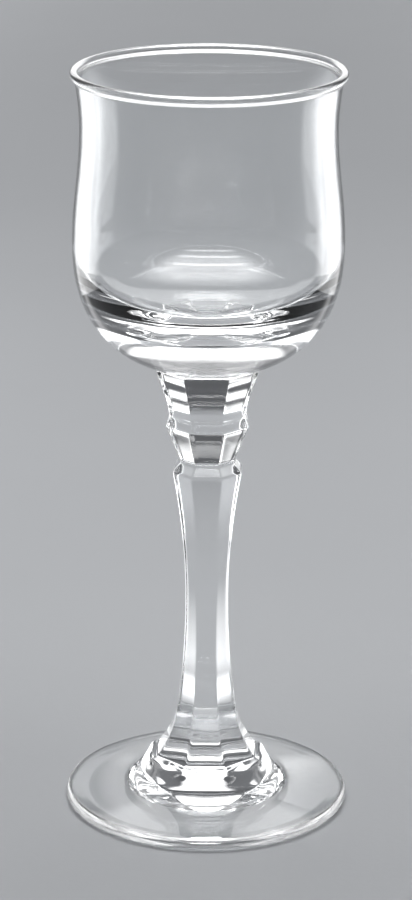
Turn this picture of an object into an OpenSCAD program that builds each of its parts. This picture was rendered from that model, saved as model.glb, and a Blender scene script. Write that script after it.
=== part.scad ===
// Cordial glass: a round bowl on an eight-sided stem and a round foot.
// Millimetres. +Z is up. The origin is on the table, at the centre of the foot.
// Five gathers of clear glass stand on each other on flat seats: foot, shaft, collar, cup, bowl.

/* [Foot] */
// Diameter of the foot
foot_d = 47.5; // [42:0.5:56]
// Thickness of the foot's rounded edge
foot_edge_t = 2.2; // [1.6:0.1:3]
// Height of the foot's seat, where the stem stands
foot_h = 8.2; // [6.5:0.1:10]
// Diameter of the raised centre, where it meets the flat disc
dome_d = 28.4; // [24:0.2:32]
// Height of the disc's top where the raised centre begins
disc_h = 3.0; // [2.4:0.1:3.6]
// Width of the flat ring that rests on the table
rest_ring_w = 2.6; // [1.5:0.1:4]
// Depth of the hollow under the foot
hollow_depth = 0.8; // [0.3:0.1:1.4]

/* [Shaft] */
// Height of the flared skirt at the shaft's lower end
skirt_h = 7; // [5:0.1:9]
// Width of the skirt across its flats, at the foot
skirt_w = 16.4; // [14:0.2:18]
// Width across flats at the break between skirt and shaft
break_w = 10.2; // [9:0.1:12]
// Height of the shaft from the break to its shoulder
shaft_h = 43.2; // [30:0.2:60]
// Width across flats at the waist, the thinnest place
waist_w = 7.2; // [6:0.1:8.6]
// Height of the waist above the break
waist_rise = 20.8; // [14:0.2:26]
// Width across flats at the shoulder
shoulder_w = 11.4; // [9.4:0.1:13]
// Height of the chamfer above the shoulder
shoulder_chamfer_h = 1.6; // [0.8:0.1:2.4]

/* [Collar] */
// Width across flats at the collar's neck
neck_w = 8.6; // [7.4:0.1:9.2]
// Height from the neck to the collar's ridge
collar_rise = 6.4; // [4:0.1:9]
// Width across flats at the ridge
ridge_w = 13.6; // [12.6:0.1:16]
// Height of the chamfer above the ridge
ridge_chamfer_h = 1.6; // [0.8:0.1:2.4]

/* [Cup] */
// Width across flats at the notch between collar and cup
notch_w = 12.4; // [10.4:0.1:12.6]
// Height of the flare above the notch
flare_h = 6.8; // [5:0.1:9]
// Width across flats at the top of the flare
flare_w = 16.2; // [14:0.1:17]
// Height of the lip that carries the bowl
lip_h = 1.6; // [0.8:0.1:2.4]
// Width across flats at the top of the lip
lip_w = 16.9; // [16.2:0.1:19]

/* [Bowl] */
// Outer diameter of the belly
belly_d = 44; // [38:0.5:50]
// Height of the belly above the bowl's seat
belly_rise = 20.6; // [17:0.2:24]
// Outer diameter where the wall draws in below the rim
throat_d = 41.4; // [36:0.2:44]
// Height of that throat above the belly
throat_rise = 18.5; // [14:0.5:24]
// Outer diameter of the rim's bead
rim_d = 44.4; // [43.6:0.2:50]
// Height of the rim above the throat
rim_rise = 9.5; // [7:0.5:12]
// Thickness of the bead
bead_d = 1.4; // [1.1:0.05:1.8]
// Wall under the bead
rim_wall = 0.9; // [0.7:0.05:1.1]
// Wall at the belly
belly_wall = 1.5; // [1.1:0.1:2.2]
// Glass under the bowl's hollow, down to the seat
bottom_t = 8; // [4:0.2:11]

/* [Hidden] */
$fn = 96;

// Steps along one curve of an outline
curve_steps = 14;
// Half the angle that one flat of the stem takes
flat_half_angle = 22.5;
// How far a round seat reaches past the corners that stand on it
seat_margin = 0.06;
// Overrun of the long slabs that the stem is cut from
overrun = 1;
// Colourless glass, with a trace of grey
glass = [0.86, 0.89, 0.92, 0.45];

// Exponents: how sharply each curve turns
skirt_power = 1.5;
shaft_power = 2;
flare_power = 1.4;
bowl_power = 2.4;
hollow_power = 2.8;

// Heights, stacked from the table up
break_z = foot_h + skirt_h;
waist_z = break_z + waist_rise;
shoulder_z = break_z + shaft_h;
neck_z = shoulder_z + shoulder_chamfer_h;
ridge_z = neck_z + collar_rise;
notch_z = ridge_z + ridge_chamfer_h;
flare_z = notch_z + flare_h;
seat_z = flare_z + lip_h;
belly_z = seat_z + belly_rise;
throat_z = belly_z + throat_rise;
rim_z = throat_z + rim_rise;

// Round seats that take the stem's corners
foot_seat_r = skirt_w / 2 / cos(flat_half_angle) + seat_margin;
bowl_seat_r = lip_w / 2 / cos(flat_half_angle) + seat_margin;

// Foot
foot_edge_r = foot_edge_t / 2;
foot_edge_x = foot_d / 2 - foot_edge_r;
hollow_r = foot_edge_x - rest_ring_w;

// Rim
bead_r = bead_d / 2;
bead_x = rim_d / 2 - bead_r;
bead_z = rim_z - bead_r;
// Where the bead's round starts outside and ends inside
bead_start_angle = -50;
bead_end_angle = 200;
// The wall's own line stops this far under the bead's centre
wall_top_z = bead_z - 1.5 * bead_r;
// The wall's line reaches this radius at the bead's centre
wall_line_r = bead_x + bead_r / 5;

// Outline tools

// Even steps from 0 to 1
function steps(n) = [for (i = [0 : n]) i / n];

// A smooth rise from 0 to 1 with level ends
function ease(t) = (1 - cos(180 * t)) / 2;

// Points on an arc, from one angle to another
function arc(x, z, r, a0, a1) = [
    for (t = steps(curve_steps)) [x + r * cos(a0 + t * (a1 - a0)), z + r * sin(a0 + t * (a1 - a0))]
];

// A list turned end for end
function backwards(list) = [for (i = [len(list) - 1 : -1 : 0]) list[i]];

// Both sides of a half outline
function both_sides(half) = concat(half, [for (p = backwards(half)) [-p[0], p[1]]]);

// A full, squarish curve drawn down from its widest place: points at the given angles, 0 to 90
function full_curve_points(r, b, z, power, angles) = [
    for (a = angles)
        [r * pow(cos(a), 2 / power), z - b * pow(sin(a), 2 / power)]
];

// How far down such a curve closes to radius x, as a share of its depth b
function full_curve_share(r, x, power) = pow(1 - pow(x / r, power), 1 / power);

// An eight-sided solid whose side view, from any flat, is the given half outline
module eight_sided(half_outline, width) {
    intersection() {
        slab(half_outline, width, 0);
        slab(half_outline, width, 2 * flat_half_angle);
        slab(half_outline, width, 4 * flat_half_angle);
        slab(half_outline, width, 6 * flat_half_angle);
    }
}

module slab(half_outline, width, turn) {
    rotate([0, 0, turn])
        rotate([90, 0, 0])
            linear_extrude(height = width + 2 * overrun, center = true)
                polygon(both_sides(half_outline));
}

// Foot: a disc with a round edge, a raised centre and a shallow hollow under it

function foot_top_r(t) = foot_seat_r + (dome_d / 2 - foot_seat_r) * t;
function foot_top_z(t) = disc_h + (foot_h - disc_h) * (1 - ease(t));

function foot_outline() = concat(
    [for (t = steps(curve_steps)) [hollow_r * t, hollow_depth * (1 - t * t)]],
    arc(foot_edge_x, foot_edge_r, foot_edge_r, -90, 90),
    [for (t = backwards(steps(curve_steps))) [foot_top_r(t), foot_top_z(t)]],
    [[0, foot_h]]
);

module foot() {
    color(glass)
        rotate_extrude()
            polygon(foot_outline());
}

// Shaft: the skirt flares down to the foot, and the shaft is drawn in at its waist

function skirt_outline() = [
    for (t = backwards(steps(curve_steps)))
        [break_w / 2 + (skirt_w - break_w) / 2 * pow(t, skirt_power), break_z - skirt_h * t]
];

function lower_shaft_outline() = [
    for (t = backwards(steps(curve_steps)))
        if (t < 1)
            [waist_w / 2 + (break_w - waist_w) / 2 * pow(t, shaft_power), waist_z - waist_rise * t]
];

function upper_shaft_outline() = [
    for (t = steps(curve_steps))
        if (t > 0)
            [
                waist_w / 2 + (shoulder_w - waist_w) / 2 * pow(t, shaft_power),
                waist_z + (shaft_h - waist_rise) * t
            ]
];

module stem_shaft() {
    color(glass)
        eight_sided(
            concat(
                skirt_outline(),
                lower_shaft_outline(),
                upper_shaft_outline(),
                [[neck_w / 2, neck_z]]
            ),
            skirt_w
        );
}

// Collar: widens from the neck to a sharp ridge, then a chamfer back to the notch

module stem_collar() {
    color(glass)
        eight_sided([[neck_w / 2, neck_z], [ridge_w / 2, ridge_z], [notch_w / 2, notch_z]], ridge_w);
}

// Cup: flares from the notch to a steep lip under the bowl

function cup_outline() = concat(
    [
        for (t = steps(curve_steps))
            [notch_w / 2 + (flare_w - notch_w) / 2 * pow(t, flare_power), notch_z + flare_h * t]
    ],
    [[lip_w / 2, seat_z]]
);

module stem_cup() {
    color(glass)
        eight_sided(cup_outline(), lip_w);
}

// Bowl: full bottom, belly, throat and rolled rim

// The outer bottom is cut off by the seat before it closes
seat_share = full_curve_share(belly_d / 2, bowl_seat_r, bowl_power);
seat_angle = asin(pow(seat_share, bowl_power / 2));
bowl_depth = belly_rise / seat_share;

// Outer radius of the wall between belly and bead
function wall_r(z) =
    z < throat_z
        ? belly_d / 2 - (belly_d - throat_d) / 2 * ease((z - belly_z) / throat_rise)
        : throat_d / 2 + (wall_line_r - throat_d / 2) * pow((z - throat_z) / (bead_z - throat_z), 2);

// Thickness of the wall, thinner towards the rim
function wall_t(z) = belly_wall + (rim_wall - belly_wall) * (z - belly_z) / (bead_z - belly_z);

// Heights along the wall, from belly to bead
wall_heights = concat(
    [for (t = steps(curve_steps)) belly_z + throat_rise * t],
    [for (t = steps(curve_steps)) if (t > 0) throat_z + (wall_top_z - throat_z) * t]
);

function bowl_outline() = concat(
    [[0, seat_z]],
    backwards(full_curve_points(
        belly_d / 2, bowl_depth, belly_z, bowl_power,
        [for (t = steps(curve_steps)) seat_angle * t]
    )),
    [for (z = wall_heights) if (z > belly_z) [wall_r(z), z]],
    arc(bead_x, bead_z, bead_r, bead_start_angle, bead_end_angle),
    [for (z = backwards(wall_heights)) if (z > belly_z) [wall_r(z) - wall_t(z), z]],
    full_curve_points(
        belly_d / 2 - belly_wall, belly_rise - bottom_t, belly_z, hollow_power,
        [for (t = steps(curve_steps)) 90 * t]
    )
);

module bowl() {
    color(glass)
        rotate_extrude()
            polygon(bowl_outline());
}

foot();
stem_shaft();
stem_collar();
stem_cup();
bowl();
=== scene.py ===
# Cordial glass on a pale floor in soft studio light.
# Metres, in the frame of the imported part: +Z is up, and the glass stands on z = 0.
import math

import bpy
import numpy as np
from mathutils import Matrix, Vector


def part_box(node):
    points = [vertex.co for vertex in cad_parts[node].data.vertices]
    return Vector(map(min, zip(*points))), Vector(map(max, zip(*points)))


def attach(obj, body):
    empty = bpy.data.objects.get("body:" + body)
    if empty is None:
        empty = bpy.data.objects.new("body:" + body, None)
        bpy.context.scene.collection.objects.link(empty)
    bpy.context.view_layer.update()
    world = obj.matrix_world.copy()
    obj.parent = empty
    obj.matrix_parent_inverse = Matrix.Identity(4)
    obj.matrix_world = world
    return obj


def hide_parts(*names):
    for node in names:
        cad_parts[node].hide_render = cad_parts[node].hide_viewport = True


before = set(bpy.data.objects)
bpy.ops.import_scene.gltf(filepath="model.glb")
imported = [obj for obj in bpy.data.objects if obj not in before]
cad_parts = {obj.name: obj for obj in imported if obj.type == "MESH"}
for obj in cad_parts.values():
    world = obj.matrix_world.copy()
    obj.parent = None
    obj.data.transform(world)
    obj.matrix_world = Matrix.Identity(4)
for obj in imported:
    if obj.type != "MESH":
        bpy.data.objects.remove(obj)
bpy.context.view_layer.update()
millimetre = 0.001
sides = 8  # flats round the stem
scene = bpy.context.scene


# Small tools

# How many points a stretch of an outline starts with, before it is walked evenly
pointCounts = {"straight": 12, "disc": 30, "lip": 30, "curve": 40, "wall": 50, "dome": 60, "bottom": 80}


def halfWidth(node):
    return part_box(node)[1].x


def bottomOf(node):
    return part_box(node)[0].z


def topOf(node):
    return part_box(node)[1].z


def steps(count):
    return np.linspace(0.0, 1.0, count)


def ease(t):  # level, then rising, then level
    return (1.0 - np.cos(np.pi * t)) / 2.0


def line(a, b, count=pointCounts["straight"]):  # straight from a to b
    t = steps(count)[:, None]
    return np.array(a) * (1.0 - t) + np.array(b) * t


# Drawn in at one end: the half width leaves its narrow value as a power of the height.
def flare(narrow, wide, power):
    t = steps(pointCounts["curve"])
    half = narrow[0] + (wide[0] - narrow[0]) * t ** power
    return np.stack([half, narrow[1] + (wide[1] - narrow[1]) * t], 1)


# A squarish quarter round, down from its widest place: cosine and sine to the power of 2 over the fullness.
def fullCurve(half, depth, top, fullness, endAngle):
    a = np.radians(np.linspace(0, endAngle, pointCounts["bottom"]))
    across = np.clip(np.cos(a), 0, 1) ** (2 / fullness)
    down = np.clip(np.sin(a), 0, 1) ** (2 / fullness)
    return np.stack([half * across, top - depth * down], 1)


# Part of a circle: cosine and sine of angles in degrees, times the radius.
def arc(centre, radius, start, end):
    a = np.radians(np.linspace(start, end, pointCounts["curve"]))
    return np.stack([centre[0] + radius * np.cos(a), centre[1] + radius * np.sin(a)], 1)


# Foot

footShape = {
    "edgeThickness": 2.2 * millimetre,
    "domeHalf": 14.2 * millimetre,  # where the raised centre meets the disc
    "discTop": 3.0 * millimetre,
    "restRing": 2.6 * millimetre,
    "hollowDepth": 0.8 * millimetre,
    "domeFade": 2.2 * millimetre,  # below the seat, eight sides fade into the round over this height
}


# From the middle of the hollow out to the edge, round it, and up the dome to the seat.
# The hollow is a parabola, and the dome falls as half a cosine wave.
def footOutline():
    s = footShape
    edge = s["edgeThickness"] / 2
    edgeX = halfWidth("foot") - edge
    hollowR = edgeX - s["restRing"]
    t = steps(pointCounts["curve"])
    hollow = np.stack([hollowR * t, s["hollowDepth"] * (1 - t * t)], 1)
    t = steps(pointCounts["dome"])
    domeX = s["domeHalf"] + (halfWidth("stem_shaft") - s["domeHalf"]) * t
    domeZ = s["discTop"] + (topOf("foot") - s["discTop"]) * ease(t)
    dome = np.stack([domeX, domeZ], 1)
    return [
        hollow,
        line((hollowR, 0), (edgeX, 0)),
        arc((edgeX, edge), edge, -90, 90),
        line((edgeX, 2 * edge), dome[0], pointCounts["disc"]),
        dome,
    ]


# Stem

stemShape = {
    "breakHalf": 5.1 * millimetre,
    "skirtHeight": 7.0 * millimetre,
    "skirtPower": 1.5,
    "waistHalf": 3.6 * millimetre,
    "waistRise": 20.8 * millimetre,
    "shaftPower": 2,
    "shoulderHalf": 5.7 * millimetre,
    "shoulderChamfer": 1.6 * millimetre,
    "neckHalf": 4.3 * millimetre,
    "ridgeChamfer": 1.6 * millimetre,
    "notchHalf": 6.2 * millimetre,
    "flareTopHalf": 8.1 * millimetre,
    "lipHeight": 1.6 * millimetre,
    "flarePower": 1.4,
    "cornerRound": 0.9 * millimetre,  # fillet along the eight edges
    "cornerPower": 9.1,  # the section's power when the fillet is as large as the half width
    "powerLimits": (8, 400),  # the roundest and the sharpest section
}


# From the foot's seat up to the bowl's seat, as half widths across the flats.
def stemOutline():
    s = stemShape
    seat = (halfWidth("stem_shaft"), topOf("foot"))
    broken = (s["breakHalf"], seat[1] + s["skirtHeight"])
    waist = (s["waistHalf"], broken[1] + s["waistRise"])
    neck = (s["neckHalf"], topOf("stem_shaft"))
    shoulder = (s["shoulderHalf"], neck[1] - s["shoulderChamfer"])
    notch = (s["notchHalf"], topOf("stem_collar"))
    ridge = (halfWidth("stem_collar"), notch[1] - s["ridgeChamfer"])
    lip = (s["flareTopHalf"], topOf("stem_cup") - s["lipHeight"])
    return [
        flare(broken, seat, s["skirtPower"])[::-1],
        flare(waist, broken, s["shaftPower"])[::-1],
        flare(waist, shoulder, s["shaftPower"]),
        line(shoulder, neck),
        line(neck, ridge),
        line(ridge, notch),
        flare(notch, lip, s["flarePower"]),
        line(lip, (halfWidth("stem_cup"), topOf("stem_cup"))),
    ]


# Bowl

bowlShape = {
    "bellyHalf": 22.0 * millimetre,
    "bellyRise": 20.6 * millimetre,
    "throatHalf": 20.7 * millimetre,
    "throatRise": 18.5 * millimetre,
    "bead": 0.7 * millimetre,
    "beadStart": -50,  # degrees round the bead, from the outer wall over the top to the inner wall
    "beadEnd": 200,
    "wallEnd": 1.5,  # the wall's line stops this many bead radii under the bead's middle
    "wallLean": 0.2,  # and would pass this many bead radii outside it
    "rimWall": 0.9 * millimetre,
    "bellyWall": 1.5 * millimetre,
    "bottom": 8.0 * millimetre,
    "fullness": 2.4,
    "hollowFullness": 2.8,
    "seatFade": 1.0 * millimetre,  # above the seat, eight sides fade into the round over this height
}


# Up the outside from the seat, over the bead, and down the inside to the middle of the bottom.
# Both bottoms are squarish quarter rounds. The wall draws in as half a cosine wave up to the throat,
# and flares as a parabola above it. Its thickness falls evenly from the belly to the bead.
def bowlOutline():
    s = bowlShape
    bellyZ = bottomOf("bowl") + s["bellyRise"]
    throatZ = bellyZ + s["throatRise"]
    beadX, beadZ = halfWidth("bowl") - s["bead"], topOf("bowl") - s["bead"]
    # How far down the curve is at the seat's width, as a share of the depth at which it would close
    seatShare = (1 - (halfWidth("stem_cup") / s["bellyHalf"]) ** s["fullness"]) ** (1 / s["fullness"])
    seatAngle = math.degrees(math.asin(seatShare ** (s["fullness"] / 2)))
    depth = s["bellyRise"] / seatShare
    wallTop = beadZ - s["wallEnd"] * s["bead"]
    lineHalf = beadX + s["wallLean"] * s["bead"]
    toThroat = np.linspace(bellyZ, throatZ, pointCounts["wall"])
    toBead = np.linspace(throatZ, wallTop, pointCounts["lip"])
    z = np.concatenate([toThroat, toBead[1:]])
    low = s["bellyHalf"] + (s["throatHalf"] - s["bellyHalf"]) * ease((z - bellyZ) / s["throatRise"])
    high = s["throatHalf"] + (lineHalf - s["throatHalf"]) * ((z - throatZ) / (beadZ - throatZ)) ** 2
    outer = np.where(z < throatZ, low, high)
    wall = s["bellyWall"] + (s["rimWall"] - s["bellyWall"]) * (z - bellyZ) / (beadZ - bellyZ)
    innerHalf, innerDepth = s["bellyHalf"] - s["bellyWall"], s["bellyRise"] - s["bottom"]
    return [
        fullCurve(s["bellyHalf"], depth, bellyZ, s["fullness"], seatAngle)[::-1],
        np.stack([outer, z], 1),
        arc((beadX, beadZ), s["bead"], s["beadStart"], s["beadEnd"]),
        np.stack([outer - wall, z], 1)[::-1],
        fullCurve(innerHalf, innerDepth, bellyZ, s["hollowFullness"], 90),
    ]


# Fire polish: one outline for the whole glass, with its ridges rounded

polish = {
    "blur": 0.12 * millimetre,  # how far the fire rounds the foot's edge and the rim
    "pressedBlur": 0.28 * millimetre,  # and the pressed ridges of the stem
    "reach": 4,  # the bell curve ends this many blurs from its middle
    "pitch": 0.02 * millimetre,  # of the even walk along the outline
    "samePoint": 0.00002 * millimetre,  # points nearer than this count as one
    "rampLength": 1.6 * millimetre,  # over which one blur turns into the other
    "longest": 0.9 * millimetre,  # a face's height on a straight stretch
    "turn": math.radians(5),  # between two faces on a curve
    "columnsPerFlat": 32,
}


# The outline walked in even steps: both coordinates read off at equal lengths along it.
def evenWalk(points, pitch):
    keep = np.r_[True, np.linalg.norm(np.diff(points, axis=0), axis=1) > polish["samePoint"]]
    points = points[keep]
    length = np.r_[0, np.cumsum(np.linalg.norm(np.diff(points, axis=0), axis=1))]
    walk = np.arange(0, length[-1], pitch)
    return np.stack([np.interp(walk, length, points[:, k]) for k in (0, 1)], 1)


# The evenly walked outline is averaged with a bell curve along its length.
# It is mirrored past the axis first, so that it stays square to the axis at both ends.
def soften(even, blur, pitch):
    reach = int(polish["reach"] * blur / pitch)
    bell = np.exp(-0.5 * (np.arange(-reach, reach + 1) * pitch / blur) ** 2)
    bell /= bell.sum()
    mirror = np.array([-1, 1])
    padded = np.concatenate([even[reach:0:-1] * mirror, even, even[-2:-reach - 2:-1] * mirror])
    soft = np.stack([np.convolve(padded[:, k], bell, mode="valid") for k in (0, 1)], 1)
    soft[0, 0] = soft[-1, 0] = 0.0
    return soft


# Two grades of polish, blended along the outline: the stem's share rises and falls smoothly.
def polishedOutline():
    pitch = polish["pitch"]
    even = evenWalk(np.concatenate(footOutline() + stemOutline() + bowlOutline()), pitch)
    fine = soften(even, polish["blur"], pitch)
    broad = soften(even, polish["pressedBlur"], pitch)
    onStem = np.zeros(len(even))
    widest = np.argmax(even[:, 0] * (even[:, 1] < topOf("foot")))
    first = widest + np.argmax(even[widest:, 1] > footShape["discTop"])
    last = widest + np.argmax(even[widest:, 1] > bottomOf("bowl") + bowlShape["seatFade"])
    onStem[first:last] = 1
    ramp = np.ones(int(polish["rampLength"] / pitch))
    share = np.convolve(onStem, ramp / len(ramp), mode="same")[:, None]
    return fine * (1 - share) + broad * share


# Fewer points on one outline: a new one each time the line has run far enough or turned far enough.
def thin(points):
    run = np.diff(points, axis=0)
    size = np.linalg.norm(run, axis=1)
    heading = np.unwrap(np.arctan2(run[:, 1], run[:, 0]))
    bend = np.abs(np.diff(heading, prepend=heading[0]))
    measure = np.r_[0, np.cumsum(size / polish["longest"] + bend / polish["turn"])]
    count = max(3, int(np.ceil(measure[-1])) + 1)
    picks = np.linspace(0, measure[-1], count)
    return np.stack([np.interp(picks, measure, points[:, k]) for k in (0, 1)], 1)


wholeOutline = polishedOutline()


# Where the outline crosses height z, on the straight stretch that ends at point i.
def onSeat(i, z):
    a, b = wholeOutline[i - 1], wholeOutline[i]
    return a + (b - a) * (z - a[1]) / (b[1] - a[1])


# The stretch of the outer line from height low to height high, with a point exactly on each seat.
def cutBetween(low, high):
    height = wholeOutline[:, 1]
    started = np.argmax(wholeOutline[:, 0])  # past the foot's edge the outer line only climbs
    start = 0 if low is None else started + np.argmax(height[started:] >= low)
    end = len(height) if high is None else started + np.argmax(height[started:] >= high)
    part = wholeOutline[start:end]
    if low is not None:
        part = np.concatenate([[onSeat(start, low)], part[1:]])
    if high is not None:
        part = np.concatenate([part[:-1], [onSeat(end, high)]])
    return thin(part)


# Surfaces

# Angles round the axis, the same on every piece: within a flat they follow a sine from edge to edge,
# so that they lie closer together along the eight edges.
def columnAngles():
    across = np.sin(np.pi / 2 * np.linspace(-1, 1, polish["columnsPerFlat"], endpoint=False))
    inFlat = across * np.pi / sides
    return (np.arange(sides)[:, None] * 2 * np.pi / sides + inFlat[None, :]).ravel() - np.pi / 2


# How far an eight-sided section with round edges reaches at each angle, as a share of its half width:
# the cosines to the eight flats are raised to a power and added, and it is one over that root of the sum.
# The power rises with the size, so the fillet keeps its radius.
def sideFactor(angles, half):
    flats = np.arange(sides) * 2 * np.pi / sides - np.pi / 2
    toFlat = np.clip(np.cos(angles[:, None] - flats[None, :]), 0, 1)
    power = stemShape["cornerPower"] * half / stemShape["cornerRound"]
    power = np.clip(power, *stemShape["powerLimits"])[:, None]
    total = np.zeros((len(half), len(angles)))
    for k in range(sides):
        total += toFlat[None, :, k] ** power
    return total ** (-1 / power)


# 1 on the stem, fading to 0 as half a cosine wave where the seats run into the round bowl and foot.
def eightSidedShare(z):
    below = np.clip((topOf("foot") - z) / footShape["domeFade"], 0, 1)
    above = np.clip((z - bottomOf("bowl")) / bowlShape["seatFade"], 0, 1)
    return (1 - ease(below)) * (1 - ease(above))


# Rings of points: every outline point carried round the axis, at its half width times the side factor.
def ringGrid(rings):
    angles = columnAngles()
    share = eightSidedShare(rings[:, 1])[:, None]
    reach = rings[:, 0:1] * (1 - share + share * sideFactor(angles, rings[:, 0]))
    z = np.broadcast_to(rings[:, 1:2], reach.shape)
    return np.stack([reach * np.cos(angles), reach * np.sin(angles), z], -1)


# Quads between the rings, and a fan of triangles from the first and the last ring to its pole.
def skinFaces(rows, columns):
    row, column = np.meshgrid(np.arange(rows - 1), np.arange(columns), indexing="ij")
    here, beside = row * columns, (column + 1) % columns
    quads = np.stack([here + column, here + beside, here + columns + beside, here + columns + column], -1)
    c = np.arange(columns)
    nextC = (c + 1) % columns
    last = (rows - 1) * columns
    first = np.stack([nextC, c, np.full(columns, rows * columns)], -1)
    final = np.stack([last + c, last + nextC, np.full(columns, rows * columns + 1)], -1)
    return quads.reshape(-1, 4).tolist() + first.tolist() + final.tolist()


# Hard edges are those whose two ends are both marked.
def markHardEdges(mesh, hard):
    ends = np.zeros(len(mesh.edges) * 2, np.int32)
    mesh.edges.foreach_get("vertices", ends)
    sharp = mesh.attributes.new("sharp_edge", "BOOLEAN", "EDGE")
    sharp.data.foreach_set("value", hard[ends.reshape(-1, 2)].all(1))


# A closed skin turned from an outline. An end on a seat is a flat fan of the seam material,
# with a hard edge round it; any other end closes on the axis.
def turnedSurface(name, outline, seamLow, seamHigh, materials):
    points = outline
    if seamLow:
        points = np.concatenate([[[0.0, outline[0, 1]]], points])
    if seamHigh:
        points = np.concatenate([points, [[0.0, outline[-1, 1]]]])
    grid = ringGrid(points[1:-1])
    rows, columns = grid.shape[:2]
    poles = np.array([[0, 0, points[0, 1]], [0, 0, points[-1, 1]]])
    verts = np.concatenate([grid.reshape(-1, 3), poles])
    faces = skinFaces(rows, columns)
    mesh = bpy.data.meshes.new(name)
    mesh.from_pydata(verts.tolist(), [], faces)
    slots = np.zeros(len(faces), np.int32)
    slots[-2 * columns:-columns] = seamLow
    slots[-columns:] = seamHigh
    mesh.polygons.foreach_set("material_index", slots)
    mesh.polygons.foreach_set("use_smooth", np.ones(len(faces), bool))
    hard = np.zeros(len(verts), bool)
    hard[:columns] = seamLow
    hard[(rows - 1) * columns:rows * columns] = seamHigh
    markHardEdges(mesh, hard)
    for material in materials:
        mesh.materials.append(material)
    mesh.update()
    piece = bpy.data.objects.new(name, mesh)
    scene.collection.objects.link(piece)
    return piece


# Materials

# A socket that takes part in Python sums.
class Val:
    def __init__(self, tree, socket):
        self.tree, self.socket = tree, socket

    def math(self, operation, a, b):
        node = self.tree.nodes.new("ShaderNodeMath")
        node.operation = operation
        for slot, value in zip(node.inputs, (a, b)):
            if isinstance(value, Val):
                self.tree.links.new(value.socket, slot)
            else:
                slot.default_value = value
        return Val(self.tree, node.outputs[0])

    def __add__(self, other):
        return self.math("ADD", self, other)

    def __radd__(self, other):
        return self.math("ADD", other, self)

    def __sub__(self, other):
        return self.math("SUBTRACT", self, other)

    def __rsub__(self, other):
        return self.math("SUBTRACT", other, self)

    def __mul__(self, other):
        return self.math("MULTIPLY", self, other)

    def __rmul__(self, other):
        return self.math("MULTIPLY", other, self)


# A node tree, with one method for any node: its type, its settings, then the values or links of its sockets.
class Nodes:
    def __init__(self, owner):
        owner.use_nodes = True
        self.owner, self.tree = owner, owner.node_tree
        self.tree.nodes.clear()

    def node(self, kind, settings=None, inputs=None, output=0):
        made = self.tree.nodes.new("ShaderNode" + kind)
        for key, value in (settings or {}).items():
            setattr(made, key, value)
        for key, value in (inputs or {}).items():
            if isinstance(value, Val):
                self.tree.links.new(value.socket, made.inputs[key])
            else:
                made.inputs[key].default_value = value
        return Val(self.tree, made.outputs[output]) if len(made.outputs) else None

    def between(self, value, low, high):  # 0 up to low, 1 from high, smooth between them
        return self.node("MapRange", {"interpolation_type": "SMOOTHSTEP"}, {
            "Value": value, "From Min": low, "From Max": high})

    def colour(self, share, a, b):  # from a to b as share goes from 0 to 1
        return self.node("Mix", {"data_type": "RGBA"}, {"Factor": share, 6: (*a, 1.0), 7: (*b, 1.0)}, 2)

    def place(self):
        return self.node("TexCoord", output="Object")

    def height(self):
        return self.node("SeparateXYZ", None, {"Vector": self.place()}, "Z")

    def noise(self, grain):  # grain is the scale, the detail and the roughness of a noise
        scale, detail, roughness = grain
        return self.node("TexNoise", None, {
            "Vector": self.place(), "Scale": scale, "Detail": detail, "Roughness": roughness})

    def finish(self, kind, surface):
        self.node(kind, None, {"Surface": surface})
        return self.owner


def newMaterial(name):
    return Nodes(bpy.data.materials.new(name))


clearGlass = {
    "tint": (0.985, 0.992, 0.995),
    "shade": (0.955, 0.968, 0.975),
    "shadeShare": 0.6,
    "ior": 1.52,
    "smears": (90.0, 4.0, 0.6),  # faint smears left by a cloth
    "smearFrom": 0.5,
    "smearFull": 0.72,
    "shineIor": 2.3,  # a clear coat on the rim's bead and the foot's edge, brighter than glass alone
    "shineRoughness": 0.2,
}


# Colourless glass: slow waves of the gather, a fine fire-polished skin and faint smears.
# extra, if there is one, gives the places that are softer and the places that shine more.
def glassMaterial(name, shape, extra):
    m = newMaterial(name)
    waves = m.noise(shape["waves"]) * shape["waveHeight"]
    skin = m.noise(shape["skin"]) * shape["skinHeight"]
    bump = m.node("Bump", None, {"Height": waves + skin, "Strength": 1.0, "Distance": 1.0})
    smears = m.between(m.noise(clearGlass["smears"]), clearGlass["smearFrom"], clearGlass["smearFull"])
    soft, shine = extra(m, shape) if extra else (0.0, 0.0)
    return m.finish("OutputMaterial", m.node("BsdfPrincipled", None, {
        "Base Color": m.colour(clearGlass["shadeShare"] * smears, clearGlass["tint"], clearGlass["shade"]),
        "Roughness": smears * shape["smear"] + soft,
        "IOR": clearGlass["ior"],
        "Transmission Weight": 1.0,
        "Normal": bump,
        "Coat Weight": shine,
        "Coat IOR": clearGlass["shineIor"],
        "Coat Roughness": clearGlass["shineRoughness"],
    }))


bowlGlassShape = {
    "waves": (140.0, 1.0, 0.4),
    "waveHeight": 0.006 * millimetre,
    "skin": (900.0, 3.0, 0.55),
    "skinHeight": 0.0002 * millimetre,
    "smear": 0.03,
    "beadFrom": topOf("bowl") - 2.2 * millimetre,  # the heights where the softer bead begins and is whole
    "beadFull": topOf("bowl") - 1.4 * millimetre,
    "beadSoftness": 0.22,
}


# The bead scatters a little and shines.
def softBead(m, shape):
    bead = m.between(m.height(), shape["beadFrom"], shape["beadFull"])
    return bead * shape["beadSoftness"], bead


stemGlassShape = {
    "waves": (320.0, 1.0, 0.4),
    "waveHeight": 0.005 * millimetre,
    "skin": (1600.0, 3.0, 0.55),
    "skinHeight": 0.0004 * millimetre,
    "smear": 0.02,
}

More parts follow.
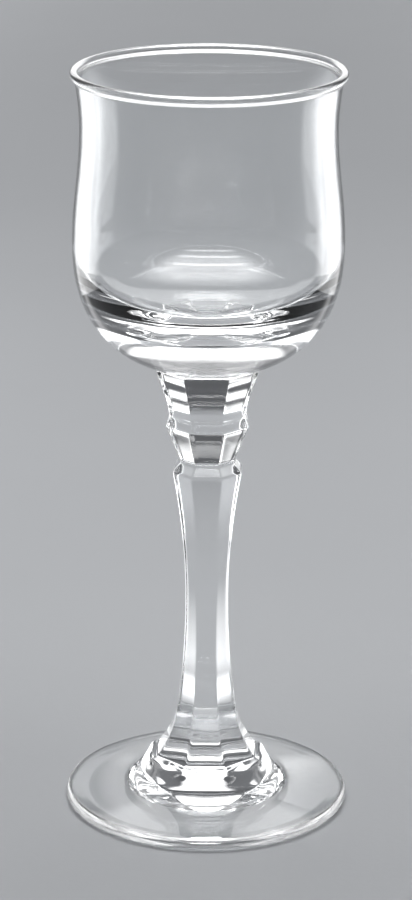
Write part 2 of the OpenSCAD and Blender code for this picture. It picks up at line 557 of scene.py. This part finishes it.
footGlassShape = {
    "waves": (180.0, 1.0, 0.4),
    "waveHeight": 0.006 * millimetre,
    "skin": (1200.0, 3.0, 0.55),
    "skinHeight": 0.0003 * millimetre,
    "smear": 0.03,
    "edgeFrom": halfWidth("foot") - 1.55 * millimetre,  # the radii where the worn edge begins and is whole
    "edgeFull": halfWidth("foot") - 0.75 * millimetre,
    "edgeWear": 0.18,
    "edgeShine": 0.6,
    "ringHeight": 0.25 * millimetre,  # the part that slides about on the table
    "scratches": (2600.0, 2.0, 0.7),
    "scratchFrom": 0.45,
    "scratchFull": 0.62,
    "scratchWear": 0.05,
    "ringWear": 0.01,
}


# Even wear on the rounded edge, and fine scratches on the ring that stands on the table.
def footWear(m, shape):
    flat = m.node("VectorMath", {"operation": "MULTIPLY"}, {0: m.place(), 1: (1, 1, 0)})
    radius = m.node("VectorMath", {"operation": "LENGTH"}, {0: flat}, "Value")
    edge = m.between(radius, shape["edgeFrom"], shape["edgeFull"])
    low = 1.0 - m.between(m.height(), 0.0, shape["ringHeight"])
    scratches = m.between(m.noise(shape["scratches"]), shape["scratchFrom"], shape["scratchFull"])
    wear = shape["ringWear"] + scratches * shape["scratchWear"]
    return edge * shape["edgeWear"] + low * wear, edge * shape["edgeShine"]


# Fused glass to glass: nothing is seen where two gathers meet.
def seamMaterial():
    m = newMaterial("fusedSeam")
    return m.finish("OutputMaterial", m.node("BsdfTransparent", None, {"Color": (1.0, 1.0, 1.0, 1.0)}))


bowlGlass = glassMaterial("bowlGlass", bowlGlassShape, softBead)
stemGlass = glassMaterial("stemGlass", stemGlassShape, None)
footGlass = glassMaterial("footGlass", footGlassShape, footWear)
fusedSeam = seamMaterial()
print("materials made")


# Pieces: node, its lower and upper seat, its glass and its slot

seats = [topOf("foot"), topOf("stem_shaft"), topOf("stem_collar"), bottomOf("bowl")]
pieceList = [
    ("foot", None, seats[0], footGlass, "foot_glass"),
    ("stem_shaft", seats[0], seats[1], stemGlass, "stem_glass"),
    ("stem_collar", seats[1], seats[2], stemGlass, "stem_glass"),
    ("stem_cup", seats[2], seats[3], stemGlass, "stem_glass"),
    ("bowl", seats[3], None, bowlGlass, "bowl_glass"),
]
for node, low, high, material, slot in pieceList:
    outline = cutBetween(low, high)
    piece = turnedSurface("glass_" + node, outline, low is not None, high is not None, [material, fusedSeam])
    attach(piece, "root")
    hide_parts(node)
    print("made", piece.name, len(piece.data.polygons), "faces")


# Floor

floorShape = {
    "radius": 6.0,
    "corners": 64,
    "drop": 0.03 * millimetre,  # the foot's ring stands this far clear, so that the two faces never fight
    "colour": (0.50, 0.51, 0.525),
    "shade": (0.46, 0.47, 0.485),
    "patches": (6.0, 4.0, 0.6),
    "grain": (900.0, 2.0, 0.5),
    "grainStrength": 0.05,
    "grainHeight": 0.5 * millimetre,
    "roughness": 0.7,
    "gloss": 0.2,
}


# A flat round disc: its corners lie on a circle, at equal angles.
def paleFloor():
    s = floorShape
    around = np.arange(s["corners"]) * 2 * np.pi / s["corners"]
    level = np.full(s["corners"], -s["drop"])
    verts = np.stack([s["radius"] * np.cos(around), s["radius"] * np.sin(around), level], -1)
    mesh = bpy.data.meshes.new("pale_floor")
    mesh.from_pydata(verts.tolist(), [], [list(range(s["corners"]))])
    m = newMaterial("paleFloor")
    grain = m.node("Bump", None, {
        "Height": m.noise(s["grain"]), "Strength": s["grainStrength"], "Distance": s["grainHeight"]})
    mesh.materials.append(m.finish("OutputMaterial", m.node("BsdfPrincipled", None, {
        "Base Color": m.colour(m.noise(s["patches"]), s["colour"], s["shade"]),
        "Roughness": s["roughness"],
        "Specular IOR Level": s["gloss"],
        "Normal": grain,
    })))
    floor = bpy.data.objects.new("pale_floor", mesh)
    scene.collection.objects.link(floor)


paleFloor()
print("floor laid")


# Light: softboxes whose cloth is brightest in the middle and fades towards the frame

# The pieces that a lamp lights, when it leaves the floor alone.
def groupOf(names):
    title = "lit_" + "_".join(names)
    group = bpy.data.collections.get(title)
    if group is None:
        group = bpy.data.collections.new(title)
        for name in names:
            group.objects.link(bpy.data.objects["glass_" + name])
    return group


# One softbox. Its energy is its radiance times pi times its area, and fade says what share of its width
# and of its height is dimmed at either end.
def softbox(name, shape, matrix, width, height):
    data = bpy.data.lights.new(name, "AREA")
    data.shape = "RECTANGLE"
    data.size, data.size_y = width, height
    data.energy = shape["radiance"] * math.pi * width * height
    data.spread = math.radians(shape.get("spread", 180))  # less than 180 degrees behind a grid
    nodes = Nodes(data)
    where = nodes.node("NewGeometry", output="Parametric")
    fades = []
    for axis, fade in zip("XY", shape["fade"]):
        share = nodes.node("SeparateXYZ", None, {"Vector": where}, axis)
        fades.append(nodes.between(share, 0.0, fade) - nodes.between(share, 1.0 - fade, 1.0))
    nodes.finish("OutputLight", nodes.node("Emission", None, {"Strength": fades[0] * fades[1]}))
    lamp = bpy.data.objects.new(name, data)
    lamp.matrix_world = matrix
    lamp.visible_camera = False
    if shape["lights"]:
        lamp.light_linking.receiver_collection = groupOf(shape["lights"])
    scene.collection.objects.link(lamp)


# A place on a circle round the glass; azimuth 0 is behind it.
def onCircle(azimuth, radius, z):
    return Vector((radius * math.sin(azimuth), radius * math.cos(azimuth), z))


# A lamp at one place, turned to shine at another.
def facing(place, aim):
    turn = (Vector(aim) - Vector(place)).to_track_quat("-Z", "Y")
    return Matrix.Translation(place) @ turn.to_matrix().to_4x4()


# A panel that stands on a circle round the glass and faces it.
def standing(name, shape, side=1):
    start, end = math.radians(shape["start"]), math.radians(shape["end"])
    width = 2 * shape["distance"] * math.tan((end - start) / 2)
    z = (shape["low"] + shape["high"]) / 2
    place = onCircle(side * (start + end) / 2, shape["distance"], z)
    softbox(name, shape, facing(place, (0, 0, z)), width, shape["high"] - shape["low"])


# A lamp that lies level along one azimuth, from near to far. It shines down, or up if tipped right over.
def lying(name, shape, side=1):
    azimuth = side * math.radians(shape["azimuth"])
    place = onCircle(azimuth, (shape["near"] + shape["far"]) / 2, shape["height"])
    turn = Matrix.Rotation(-azimuth, 4, "Z") @ Matrix.Rotation(math.radians(shape["tip"]), 4, "X")
    softbox(name, shape, Matrix.Translation(place) @ turn, shape["width"], shape["far"] - shape["near"])


# A panel anywhere in the room, turned to its aim.
def hanging(name, shape):
    softbox(name, shape, facing(shape["place"], shape["aim"]), *shape["size"])


wholeGlass = ("foot", "stem_shaft", "stem_collar", "stem_cup", "bowl")
aboveFoot = wholeGlass[1:]
footAlone = wholeGlass[:1]
stemAlone = wholeGlass[1:4]

standingPairs = {
    # the white bands at the bowl's sides
    "sidePanel": {"start": 30, "end": 78, "low": -0.03, "high": 0.10, "distance": 0.22,
                  "radiance": 1.8, "fade": (0.2, 0.3), "lights": wholeGlass},
    # the stem's side flats, and the cup's
    "edgePanel": {"start": 14, "end": 32, "low": 0.042, "high": 0.082, "distance": 0.22,
                  "radiance": 1.5, "fade": (0.3, 0.25), "lights": stemAlone},
    "cupPanel": {"start": 20, "end": 31, "low": 0.086, "high": 0.108, "distance": 0.22,
                 "radiance": 1.5, "fade": (0.2, 0.3), "lights": stemAlone},
    # the ring round the dome, and the foot's edge
    "domePanel": {"start": 45, "end": 82, "low": 0.08, "high": 0.20, "distance": 0.22,
                  "radiance": 3.0, "fade": (0.2, 0.2), "lights": footAlone},
    "footPanel": {"start": 78, "end": 114, "low": 0.0, "high": 0.14, "distance": 0.22,
                  "radiance": 2.6, "fade": (0.2, 0.2), "lights": footAlone},
}
standingPanels = {
    # the crescent under the bowl and the lower half of the bead, and the white patch on the dome
    "backPanel": {"start": -34, "end": 34, "low": 0.131, "high": 0.235, "distance": 0.21,
                  "radiance": 1.7, "fade": (0.15, 0.12), "lights": wholeGlass},
    "frontPatchPanel": {"start": -12, "end": 12, "low": 0.06, "high": 0.15, "distance": 0.21,
                        "radiance": 1.6, "fade": (0.2, 0.15), "lights": footAlone},
}
lyingPairs = {
    # the shaft's rims, and the bright patches above the break
    "shaftStrip": {"azimuth": 46, "near": 0.03, "far": 0.25, "width": 0.07, "height": 0.0006, "tip": 180,
                   "radiance": 1.0, "fade": (0.5, 0.08), "lights": wholeGlass},
    "breakStrip": {"azimuth": 24, "near": 0.0246, "far": 0.040, "width": 0.014, "height": 0.0006, "tip": 180,
                   "radiance": 1.0, "fade": (0.3, 0.4), "lights": wholeGlass},
    # over the floor beside the picture, behind a grid, so that the glass has a bright ground from there
    "nearPool": {"azimuth": 52, "near": 0.17, "far": 0.95, "width": 0.40, "height": 0.30, "tip": 0,
                 "radiance": 2.2, "fade": (0.35, 0.45), "spread": 60, "lights": None},
    "farPool": {"azimuth": 52, "near": 0.45, "far": 3.20, "width": 1.90, "height": 0.80, "tip": 0,
                "radiance": 2.2, "fade": (0.35, 0.16), "spread": 60, "lights": None},
}
tubes = {"count": 3, "front": -0.30, "spacing": 0.145, "height": 0.50, "size": (0.44, 0.055),
         "radiance": 10.0, "fade": (0.25, 0.4), "lights": aboveFoot}
hangingPanels = {
    "overPanel": {"place": (0.0, -0.02, 0.52), "aim": (0.0, -0.02, 0.0), "size": (0.60, 0.70),
                  "radiance": 3.4, "fade": (0.3, 0.3), "lights": aboveFoot},
    "frontPanel": {"place": (0.0, -0.34, 0.20), "aim": (0.0, 0.0, 0.0), "size": (0.16, 0.12),
                   "radiance": 20.0, "fade": (0.3, 0.3), "lights": footAlone},
    "roomPanel": {"place": (0.0, 0.10, 0.60), "aim": (0.0, 0.10, 0.0), "size": (0.80, 0.80),
                  "radiance": 3.5, "fade": (0.3, 0.3), "lights": None},
}
for k in range(tubes["count"]):  # the streaks in the bottom of the bowl
    place = (0.0, tubes["front"] + k * tubes["spacing"], tubes["height"])
    hangingPanels[f"tube{k + 1}"] = {**tubes, "place": place, "aim": (0.0, 0.0, topOf("stem_cup"))}

for side, end in ((-1, "Left"), (1, "Right")):
    for name, shape in standingPairs.items():
        standing(name + end, shape, side)
    for name, shape in lyingPairs.items():
        lying(name + end, shape, side)
for name, shape in standingPanels.items():
    standing(name, shape)
for name, shape in hangingPanels.items():
    hanging(name, shape)

room = {
    "horizon": (0.088, 0.090, 0.096),  # as bright as the floor far off, so that no edge shows
    "ceiling": (0.185, 0.190, 0.200),
    "ceilingFrom": 0.6,  # share of the way up where the walls have turned into ceiling
}


# Walls that brighten smoothly from the floor up to the ceiling.
def softRoom():
    scene.world = bpy.data.worlds.new("softRoom")
    nodes = Nodes(scene.world)
    up = nodes.node("SeparateXYZ", None, {"Vector": nodes.node("TexCoord", output="Generated")}, "Z")
    colour = nodes.colour(nodes.between(up, 0.0, room["ceilingFrom"]), room["horizon"], room["ceiling"])
    nodes.finish("OutputWorld", nodes.node("Background", None, {"Color": colour}))


softRoom()
print("studio lit")


# Camera: where the photograph was taken from

cameraShape = {
    "distance": 0.4966,
    "height": 0.2245,
    "pitchDown": 18.17,
    "turn": 1.5,  # round the glass, to the right
    "roll": 0.24,
    "side": -0.00027,
    "lens": 127.1,
    "sensor": 36.0,
    "nearest": 0.02,
    "farthest": 20.0,
}


def setCamera():
    s = cameraShape
    data = bpy.data.cameras.new("camera")
    data.lens, data.sensor_width = s["lens"], s["sensor"]
    data.clip_start, data.clip_end = s["nearest"], s["farthest"]
    camera = bpy.data.objects.new("camera", data)
    turn = Matrix.Rotation(math.radians(s["turn"]), 4, "Z")
    pitch = Matrix.Rotation(math.radians(90 - s["pitchDown"]), 4, "X")
    roll = Matrix.Rotation(math.radians(s["roll"]), 4, "Z")
    stand = Matrix.Translation((s["side"], -s["distance"], s["height"]))
    camera.matrix_world = turn @ stand @ pitch @ roll
    scene.collection.objects.link(camera)
    scene.camera = camera


setCamera()
print("camera set")

# Rays: light passes through many walls of glass before it is lost

glassBounces = 32
mirrorBounces = 12
scene.cycles.max_bounces = glassBounces
scene.cycles.transmission_bounces = glassBounces
scene.cycles.transparent_max_bounces = glassBounces
scene.cycles.glossy_bounces = mirrorBounces
scene.cycles.caustics_reflective = True
scene.cycles.caustics_refractive = True
scene.view_settings.view_transform = "Standard"
